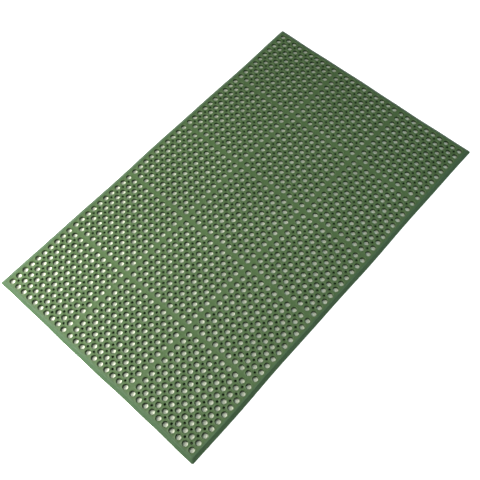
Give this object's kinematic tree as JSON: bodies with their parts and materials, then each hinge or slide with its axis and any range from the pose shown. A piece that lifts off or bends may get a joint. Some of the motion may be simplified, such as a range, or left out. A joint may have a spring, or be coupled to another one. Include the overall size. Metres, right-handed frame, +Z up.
{
  "type": "perforated drainage mat",
  "caption": "Rectangular rubber floor mat, perforated with round drain holes in square panels divided by plain strips, with a ramped border on all sides.",
  "frame": {"origin": "centre of the mat's underside, on the floor", "axes": "+X along the mat's length, +Y across its width, +Z up from the floor"},
  "size_m": [1.5, 0.9114, 0.012],
  "materials": {
    "sheet_rubber": "matt moulded rubber",
    "border_rubber": "matt moulded rubber"
  },
  "bodies": {
    "root": {"panel_r1c1": "sheet_rubber", "panel_r1c2": "sheet_rubber", "panel_r1c3": "sheet_rubber", "panel_r1c4": "sheet_rubber", "panel_r1c5": "sheet_rubber", "panel_r2c1": "sheet_rubber", "panel_r2c2": "sheet_rubber", "panel_r2c3": "sheet_rubber", "panel_r2c4": "sheet_rubber", "panel_r2c5": "sheet_rubber", "panel_r3c1": "sheet_rubber", "panel_r3c2": "sheet_rubber", "panel_r3c3": "sheet_rubber", "panel_r3c4": "sheet_rubber", "panel_r3c5": "sheet_rubber", "cross_rib_1": "sheet_rubber", "cross_rib_2": "sheet_rubber", "cross_rib_3": "sheet_rubber", "cross_rib_4": "sheet_rubber", "long_rib_back": "sheet_rubber", "long_rib_front": "sheet_rubber", "edge_front": "border_rubber", "edge_back": "border_rubber", "edge_left": "border_rubber", "edge_right": "border_rubber"}
  },
  "joints": []
}
